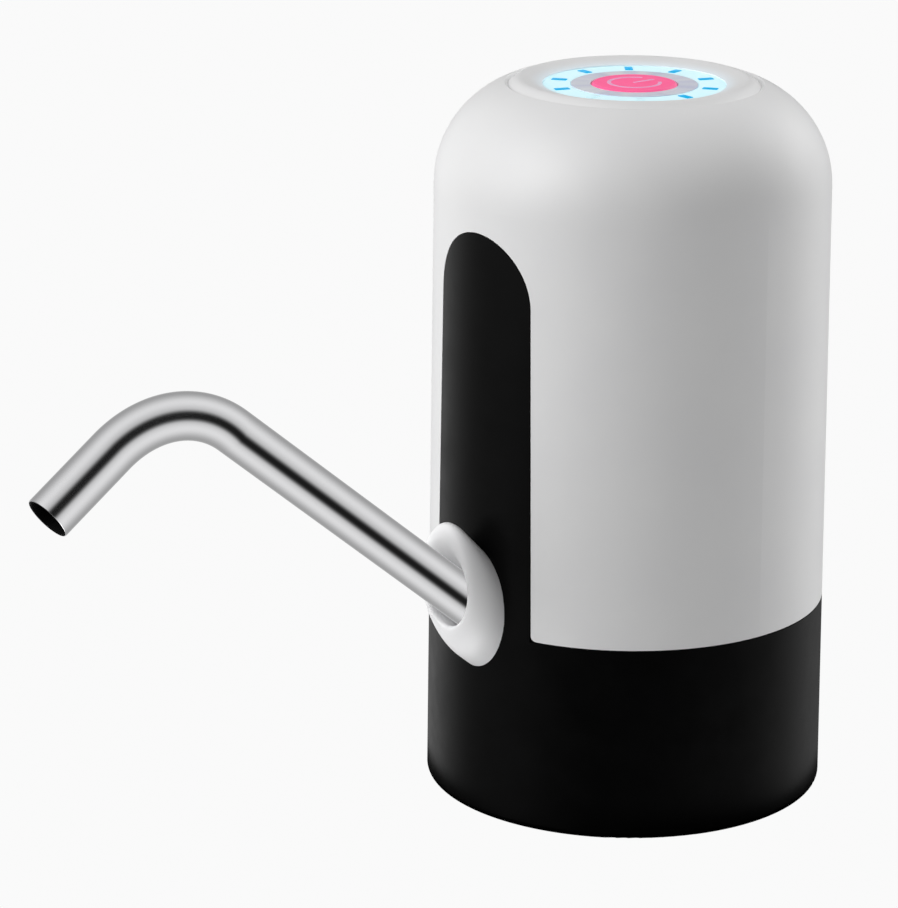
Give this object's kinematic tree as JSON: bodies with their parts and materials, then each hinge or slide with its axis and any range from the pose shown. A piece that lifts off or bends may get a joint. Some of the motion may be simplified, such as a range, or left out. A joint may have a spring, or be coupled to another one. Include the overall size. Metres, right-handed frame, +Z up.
{
  "type": "electric water pump",
  "caption": "Rechargeable bottle-top water pump: domed shell on a bottle-neck base, bent steel spout in a sloping collar, lit push button on top.",
  "frame": {"origin": "centre of the bottle-neck bore, on the bottom plane", "axes": "+Z up, -Y towards the spout, +Y towards the charging port, +X to the right seen from the spout side"},
  "size_m": [0.074, 0.167, 0.1332],
  "materials": {
    "shell_white": "satin white moulding",
    "base_black": "satin black moulding",
    "collar_white": "satin white moulding",
    "spout_steel": "polished stainless steel",
    "fitting_plastic": "natural moulding",
    "seal_rubber": "black rubber",
    "hose_silicone": "milky silicone",
    "plain_steel": "zinc-plated steel",
    "gasket_silicone": "translucent silicone",
    "frame_plastic": "dark moulding",
    "cell_wrap": "blue shrink wrap",
    "nickel": "nickel strip",
    "foam": "closed-cell foam",
    "motor_steel": "zinc-plated steel",
    "end_cap": "ivory moulding",
    "contact_brass": "tinned brass",
    "ferrite": "dark ferrite",
    "bronze": "sintered bronze",
    "carbon": "carbon",
    "core_steel": "laminated steel",
    "copper": "enamelled copper",
    "pump_plastic": "dark moulding",
    "diaphragm_rubber": "black rubber",
    "board_green": "green circuit board",
    "socket_steel": "bright steel",
    "chip_black": "black moulding",
    "lamp_white": "white lamp package",
    "diffuser": "milky diffuser, lit from below",
    "bezel_silver": "satin silver",
    "button_red": "rosy red moulding",
    "lead_red": "red insulation",
    "lead_black": "black insulation",
    "lead_grey": "grey ribbon"
  },
  "bodies": {
    "pump": {"upper_shell": "shell_white", "base_shell": "base_black", "spout_collar": "collar_white", "spout_socket": "fitting_plastic", "outlet_hose": "hose_silicone", "inlet_hose": "hose_silicone", "hose_clips": "plain_steel", "inlet_nipple": "fitting_plastic", "nipple_seal": "seal_rubber", "nipple_nut": "fitting_plastic", "neck_gasket": "gasket_silicone", "inner_frame": "frame_plastic", "top_bracket": "frame_plastic", "base_screws": "plain_steel", "bracket_screws": "plain_steel", "battery_cell": "cell_wrap", "battery_tabs": "nickel", "battery_pads": "foam", "motor_can": "motor_steel", "motor_end_cap": "end_cap", "motor_terminals": "contact_brass", "motor_magnets": "ferrite", "motor_bushes": "bronze", "motor_brushes": "carbon", "motor_sleeve": "seal_rubber", "motor_screws": "plain_steel", "pump_housing": "pump_plastic", "diaphragm": "diaphragm_rubber", "valve_plate": "pump_plastic", "check_valves": "gasket_silicone", "pump_cover": "pump_plastic", "pump_screws": "plain_steel", "charge_board": "board_green", "charge_socket": "socket_steel", "charge_contacts": "chip_black", "charge_chips": "chip_black", "button_board": "board_green", "board_screws": "plain_steel", "tact_switch": "chip_black", "indicator_leds": "lamp_white", "light_ring": "diffuser", "button_bezel": "bezel_silver", "battery_lead_positive": "lead_red", "battery_lead_negative": "lead_black", "motor_leads": "lead_black", "switch_lead": "lead_grey"},
    "button": {"power_button": "button_red", "switch_plunger": "frame_plastic"},
    "spout_seals": {"spout_o_rings": "seal_rubber"},
    "spout": {"spout_tube": "spout_steel", "spout_ferrule": "fitting_plastic"},
    "rotor": {"motor_shaft": "plain_steel", "rotor_core": "core_steel", "rotor_windings": "copper", "commutator": "copper", "eccentric_wheel": "fitting_plastic", "wobble_pin": "plain_steel"},
    "wobble": {"wobble_plate": "pump_plastic"}
  },
  "joints": [
    {"name": "button_press", "type": "slide", "parent": "pump", "child": "button", "axis": [0, 0, -1], "range_m": [0, 0.0005], "stiffness_N_per_m": 2000, "springref_m": -0.0003},
    {"name": "spout_pull", "type": "slide", "parent": "pump", "child": "spout_seals", "axis": [0, -0.7763, 0.6304], "range_m": [0, 0.012]},
    {"name": "spout_swivel", "type": "hinge", "parent": "spout_seals", "child": "spout", "pos_m": [0, -0.03669, 0.03975], "axis": [0, -0.7763, 0.6304], "continuous": true},
    {"name": "rotor_spin", "type": "hinge", "parent": "pump", "child": "rotor", "pos_m": [-0.01597, 0.00645, 0.04], "axis": [0, 0, 1], "continuous": true},
    {"name": "wobble_spin", "type": "hinge", "parent": "rotor", "child": "wobble", "pos_m": [-0.01597, 0.00645, 0.0793], "axis": [-0.1564, 0, 0.9877], "continuous": true}
  ],
  "couplings": [
    {"joint": "wobble_spin", "follows": "rotor_spin", "ratio": -1}
  ]
}
